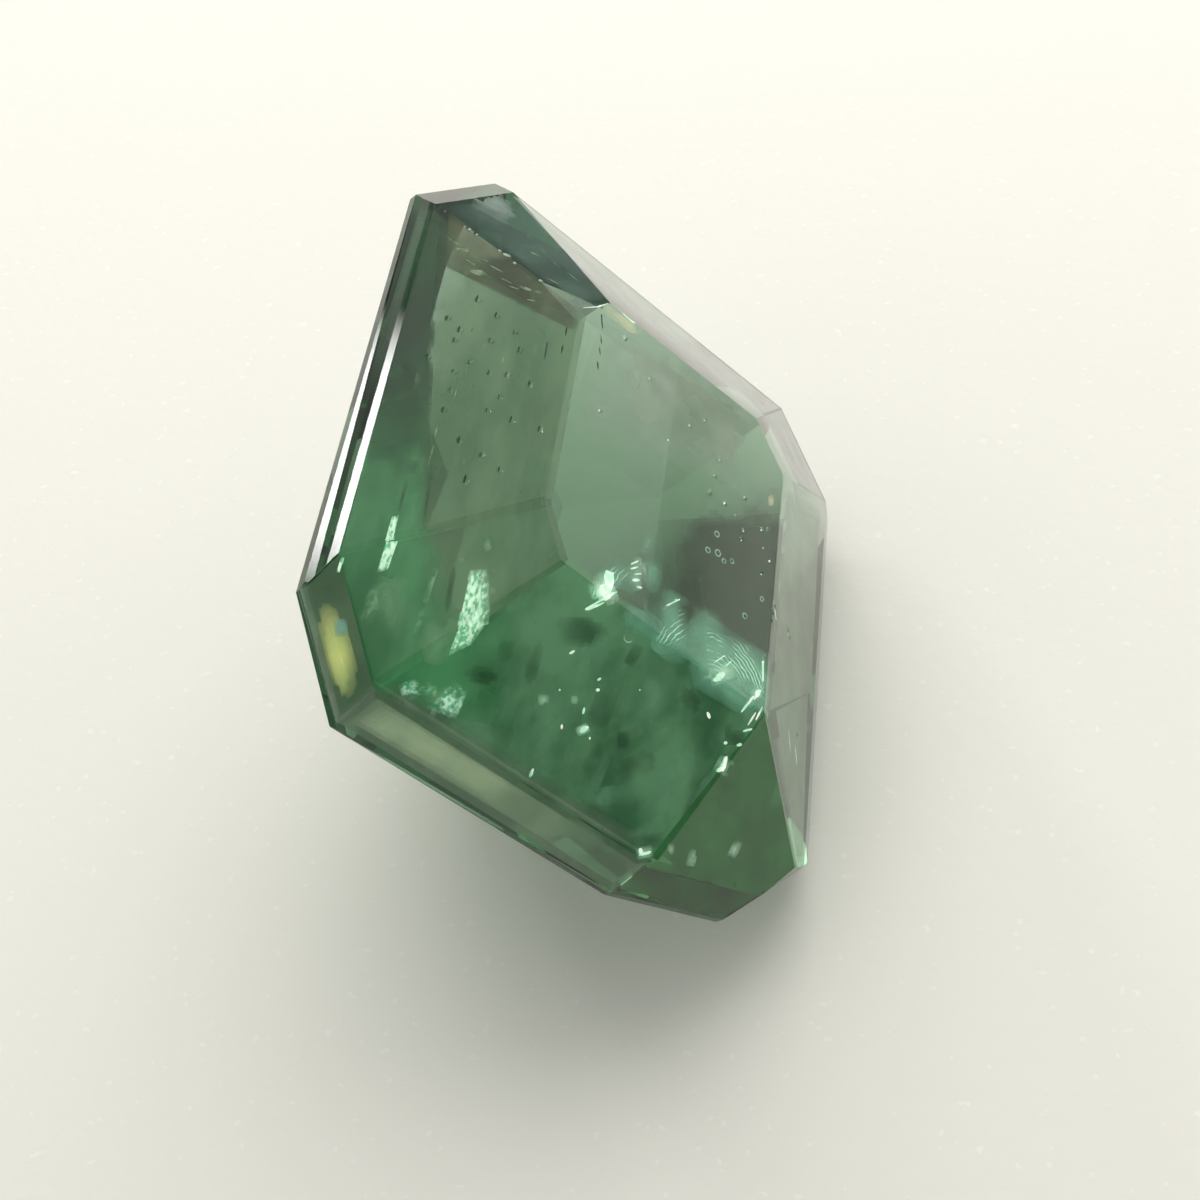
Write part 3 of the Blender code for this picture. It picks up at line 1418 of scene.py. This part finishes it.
@dataclass
class HealedCracks(Assembly):
    """The aqua feathers in the middle of the stone: soft veils, and rippled sheets whose flash is painted as
    glowing bright arcs.
    """

    veils: Layer = Layer(
        "aqua_veils",
        TrappedAndPaintedLight(
            pale=(0.170, 0.395, 0.262), deep=(0.100, 0.280, 0.175), cover=0.80, waves=1.6,
            broken=(0.05, 0.40), glow=0.48,
        ),
        Sheet.about(618, 580, 60, 50, 30, 0.3),
        *rounds(0.25, (654, 574, 26, 50, 0), (647, 546, 12, 30, -20)),
        *rounds(0.3, (668, 618, 60, 70, 20), (700, 632, 60, 60, -30)),
        Sheet(((672, 642), (768, 714), (773, 650), (700, 604)), 0.24, rim=(0.35, 0.06, OPEN, 0.40)),
        Sheet(((682, 648), (768, 714), (773, 664), (708, 618)), 0.20, rim=(0.30, 0.06, OPEN, 0.35)),
        Sheet(((690, 690), (752, 724), (764, 710), (682, 648)), 0.20, rim=(0.30, 0.20, 0.60, OPEN)),
        Sheet.about(672, 640, 60, 40, -40, 0.25),
        Sheet.about(748, 690, 60, 36, -20, 0.2),
        Sheet.about(640, 625, 70, 34, -20, 0.3),
    )
    feather: tuple = (
        Sheet(((706, 666), (764, 708), (768, 650), (700, 622)), 0.16, rim=(0.2, 0.1, 0.1, 0.3), cell=2.5),
        Sheet(((655, 640), (690, 655), (690, 606), (660, 600)), 0.2, rim=(0.4, 0.4, 0.3, 0.4), cell=3.0),
        Sheet(((582, 590), (604, 606), (640, 566), (616, 560)), 0.2, rim=(0.4, 0.4, 0.3, 0.4), cell=3.0),
    )
    heart: tuple = (704, 706, 0.2)
    rippled: Rippled = Rippled()

    def build(self, sight: StoneSight) -> None:
        """Build the veils, and the rippled sheets with their arcs about the heart.

        Args:
            sight: the way from pixels to points in the stone.
        """
        self.veils.build(sight)
        piece = "rippled_cracks"
        material = self.rippled.material(piece, sight.inside(*self.heart))
        gather(piece, self.feather, material, sight)


@dataclass
class RimLight(Assembly):
    """Painted light just under the facets at the lower left: bands and spots where light runs along the rim.
    """

    # painted light: dull green glowing sheets over the rim facets, under the pale bands
    dull: Layer = Layer(
        "dull_rim_bands",
        TrappedAndPaintedLight(pale=(0.105, 0.175, 0.100), deep=(0.070, 0.130, 0.070), cover=0.85, glow=0.45),
        Sheet(((337, 721), (373, 687), (339, 555), (304, 589)), 0.15, rim=(OPEN,) * 4),
        Sheet(((338, 722), (612, 891), (646, 863), (375, 689)), 0.15, rim=(OPEN,) * 4),
        Sheet(((378, 690), (640, 856), (652, 838), (392, 676)), 0.10, rim=(0.1, 0.2, OPEN, 0.9), wobble=0.1),
    )
    # painted light: pale glowing bands where light runs along the rim
    bands: Layer = Layer(
        "pale_rim_bands",
        TrappedAndPaintedLight(pale=(0.310, 0.410, 0.250), deep=(0.230, 0.340, 0.195), cover=0.88, glow=0.45),
        Sheet(((342, 722), (560, 853), (590, 829), (376, 692)), 0.10, rim=(0.15, 0.5, 0.3, 0.25), wobble=0.1),
        Sheet(((350, 722), (500, 808), (520, 784), (380, 700)), 0.08, rim=(0.2, 0.5, 0.4, 0.4), wobble=0.1),
    )
    # painted light: the yellow-green light in the lower left corner
    corner: Layer = Layer(
        "yellow_corner_light",
        TrappedAndPaintedLight(pale=(0.620, 0.660, 0.250), deep=(0.500, 0.580, 0.220), cover=0.92, glow=0.50),
        Sheet(((336, 714), (368, 688), (344, 600), (306, 598)), 0.09, Outline.ROUND, rim=(0.8,), wobble=0.1),
        Sheet(((337, 704), (356, 690), (338, 625), (315, 620)), 0.07, Outline.ROUND, rim=(0.8,), wobble=0.1),
    )
    # painted light: an aqua spot of light at that corner
    spot: Layer = Layer(
        "aqua_corner_light",
        TrappedAndPaintedLight(pale=(0.16, 0.38, 0.34), deep=(0.12, 0.30, 0.26), cover=0.85, glow=0.45),
        Sheet(((332, 642), (352, 640), (350, 614), (330, 614)), 0.05, Outline.ROUND, rim=(0.8,), wobble=0.1),
    )


@dataclass(frozen=True)
class GasRings:
    """Fine rings round trapped gas: pixel, radius in pixels and depth in millimetres of each."""

    name: str = "gas_rings"
    spots: tuple = (
        (629, 637, 5.0, 0.15), (708, 550, 3.0, 0.08), (718, 553, 3.5, 0.08), (724, 561, 2.5, 0.08),
        (732, 561, 2.5, 0.08), (717, 534, 3.0, 0.08), (762, 599, 2.5, 0.08), (745, 616, 3.0, 0.08),
    )
    width: float = 0.8
    sides: int = 6
    steps: int = 20
    finish: Bright = Bright((0.45, 0.68, 0.52), (0.12, 0.30, 0.18), glow=0.35)

    def add_ring(self, shape: bmesh.types.BMesh, middle: Matrix, radius: float) -> None:
        """Add one ring to a mesh.

        Args:
            shape: the mesh that gathers the rings.
            middle: where the ring's middle is, turned so that the ring faces the camera.
            radius: the ring's radius in pixels.
        """
        rim = middle @ Matrix.Translation((radius * PIXEL, 0.0, 0.0)) @ Matrix.Rotation(math.pi / 2, 4, "X")
        tube = bmesh.ops.create_circle(shape, segments=self.sides, radius=self.width * PIXEL, matrix=rim)
        edges = dict.fromkeys(edge for vert in tube["verts"] for edge in vert.link_edges)
        bmesh.ops.spin(
            shape,
            geom=tube["verts"] + list(edges),
            cent=middle.translation,
            axis=middle.to_3x3() @ Vector((0.0, 0.0, 1.0)),
            angle=math.tau,
            steps=self.steps,
            use_merge=True,
        )

    def build(self, sight: StoneSight) -> bpy.types.Object:
        """Return the rings as one piece.

        Args:
            sight: the way from pixels to points in the stone.

        Returns:
            The piece, tied to the stone.
        """
        shape = bmesh.new()
        facing = sight.eye.turned().to_4x4()
        for across, down, radius, depth in self.spots:
            middle = Matrix.Translation(sight.inside(across, down, depth)) @ facing
            self.add_ring(shape, middle, radius)
        bmesh.ops.recalc_face_normals(shape, faces=shape.faces)
        return join_stone(as_object(self.name, shape, self.finish.material(self.name)))


@dataclass
class GlintTrail(Assembly):
    """The glowing flakes in the cracks and in a trail below them, which are painted glints, and the gas rings
    beside them.

    Each pit at the left has a pale crescent at its lower right, a painted highlight, and a dark one at its
    upper left, a painted shadow.
    """

    # painted glints: glowing flakes in the cracks, in the trail and along chipped edges, and glowing specks
    # on the table
    trail: Flakes = Flakes(
        "glint_trail",
        Bright(),
        *plates(
            0.12, (608, 581, 10, 18, -18), (604, 590, 13, 11, 25), (598, 602, 34, 2, 28),
            (594, 607, 20, 2, 20), (611, 595, 16, 1.5, 28),
        ),
        # painted highlights: thin bright lines along the table's top border
        *plates(0.04, (596, 307, 24, 1.2, 18), (624, 314, 34, 1.2, -37)),
        *plates(
            0.12, (636, 562, 13, 2.5, 25), (634, 568, 11, 1.6, 20), (637, 574, 11, 1.6, 10),
            (635, 580, 9, 2.4, 10), (638, 587, 8, 2.4, 0), (672, 603, 16, 2, 25),
        ),
        *plates(0.1, (721, 675, 15, 5, 20), (728, 664, 20, 1.6, 35), (718, 660, 16, 1.2, 30)),
        *plates(
            0.08, (748, 704, 26, 3.5, 45), (757, 694, 20, 4, 50), (763, 672, 26, 2, 80),
            (759, 714, 20, 2.4, 60), (750, 722, 16, 2.4, 55),
        ),
        *plates(
            0.1, (748, 730, 11, 4, 10), (739, 745, 7, 4, 10), (726, 743, 4, 3, 0),
            (724, 763, 8, 12, -30), (719, 770, 7, 5, 20),
        ),
        Flake(709, 716, 2.6, 6, 25, 0.15),
        *plates(0.1, (645, 854, 15, 3, 12), (641, 851, 4, 5, 0)),
        *plates(
            0.15, (583, 730, 8, 3.4, 25), (562, 727, 2.4, 5, 0), (584, 711, 2.4, 6, -15),
            (590, 738, 2.4, 3.4, 0), (598, 690, 3.4, 2.4, 0), (600, 679, 4.4, 2.4, 30),
            (573, 652, 6, 2.4, 25),
        ),
        Flake(532, 773, 3, 10, -25, 0.1),
        *plates(
            0.06, (796, 755, 2, 18, 10), (790, 745, 1.4, 24, 8), (775, 610, 3, 18, 14),
            (788, 633, 2, 12, 10),
        ),
        *dots(TABLE_PITS + FREE_SPECKS, (0.0, 0.0), (1.5, 1.5), 0.0, 0.03),
    )
    scratches_and_pit_highlights: Flakes = Flakes(
        "scratches_and_pit_highlights",
        Bright((0.34, 0.46, 0.30), (0.14, 0.22, 0.12), glow=0.35),
        *plates(
            0.05, (462, 246, 18, 1.5, -30), (480, 258, 14, 1.5, -25), (470, 262, 12, 1.2, -35),
            (495, 268, 16, 1.5, -30), (505, 280, 12, 1.2, -28), (452, 240, 10, 1.2, -35),
            (515, 288, 10, 1.5, -20), (488, 276, 10, 1.0, -30), (530, 300, 9, 1.2, -10),
        ),
        *plates(
            0.04, (542, 250, 10, 1.2, -50), (556, 264, 8, 1.0, -45), (572, 276, 12, 1.2, -48),
            (528, 236, 8, 1.0, -50),
        ),
        *plates(
            0.05, (463, 250, 12, 4, -10), (480, 273, 16, 5, -12), (527, 289, 13, 4, -20),
            (538, 292, 8, 4, -20),
        ),
        *plates(0.04, (535, 254, 10, 3, -20), (553, 281, 14, 1.5, -25)),
        *plates(
            0.05, (437, 428, 1.5, 14, -14), (431, 455, 1.5, 18, -14), (455, 395, 1.2, 9, -14),
            (466, 372, 1.2, 9, -14), (485, 345, 1.2, 7, -14), (503, 360, 1.2, 6, -14),
            (472, 330, 1.2, 6, -14), (448, 340, 1.2, 7, -14),
        ),
        # painted highlights: a pale crescent beside each pit at the left
        *dots(LEFT_PITS, (1.5, 1.0), (1.6, 7.0), -18.0, 0.04),
    )
    hairlines_and_pit_shadows: Flakes = Flakes(
        "hairlines_and_pit_shadows",
        Bright((0.050, 0.090, 0.055), (0.020, 0.045, 0.025), glow=0.1),
        *plates(
            0.05, (602, 322, 2.4, 16, -4), (601, 338, 1.6, 12, -4), (600, 352, 2.4, 12, -4),
            (598, 367, 2.0, 12, -4), (566, 332, 1.6, 10, -10), (562, 350, 1.6, 12, -10),
            (546, 350, 1.4, 20, -10),
        ),
        # painted shadows: a dark crescent beside each pit at the left
        *dots(LEFT_PITS, (-1.5, -1.0), (1.6, 7.0), -18.0, 0.04),
    )
    # painted highlights: soft glowing blurs round the glints
    soft: Layer = Layer(
        "soft_glints",
        TrappedAndPaintedLight(
            pale=(0.66, 0.92, 0.72), deep=(0.32, 0.62, 0.42), cover=0.60, waves=5.0,
            broken=(0.20, 0.60), glow=0.50,
        ),
        *rounds(0.15, (606, 588, 40, 44, 20), (637, 574, 26, 44, 0)),
        Sheet.about(722, 673, 44, 26, 20, 0.13),
        Sheet.about(752, 698, 46, 16, 48, 0.10),
        *rounds(
            0.12, (724, 766, 26, 26, -30), (642, 853, 34, 18, 12), (671, 849, 10, 16, 0),
            (693, 855, 14, 34, -15), (735, 849, 14, 26, -25),
        ),
        *rounds(0.17, (583, 730, 20, 14, 25), (575, 700, 10, 12, 0), (544, 700, 16, 16, 0)),
    )
    rings: GasRings = GasRings()


def set_sampling() -> None:
    """Let light bounce often enough to find its way out of the stone, and keep its colours plain."""
    scene = bpy.context.scene
    scene.view_settings.view_transform = "Standard"
    scene.cycles.max_bounces = 14
    scene.cycles.glossy_bounces = 10
    scene.cycles.transmission_bounces = 12
    scene.cycles.transparent_max_bounces = 16


def main() -> None:
    """Build the camera, the studio and the stone with its inclusions, in that order."""
    logging.basicConfig(level=logging.INFO, format="%(name)s: %(message)s")
    eye = Eye()
    eye.build()
    Studio().build()
    stone = CutStone()
    sight = StoneSight(eye, stone.facets())
    stone.build(sight)
    for kind in (HazeAndPaintedLight, LeftGlow, CloudBank, GrowthTubes, HealedCracks, RimLight, GlintTrail):
        kind().build(sight)
    set_sampling()


if __name__ == "__main__":
    main()
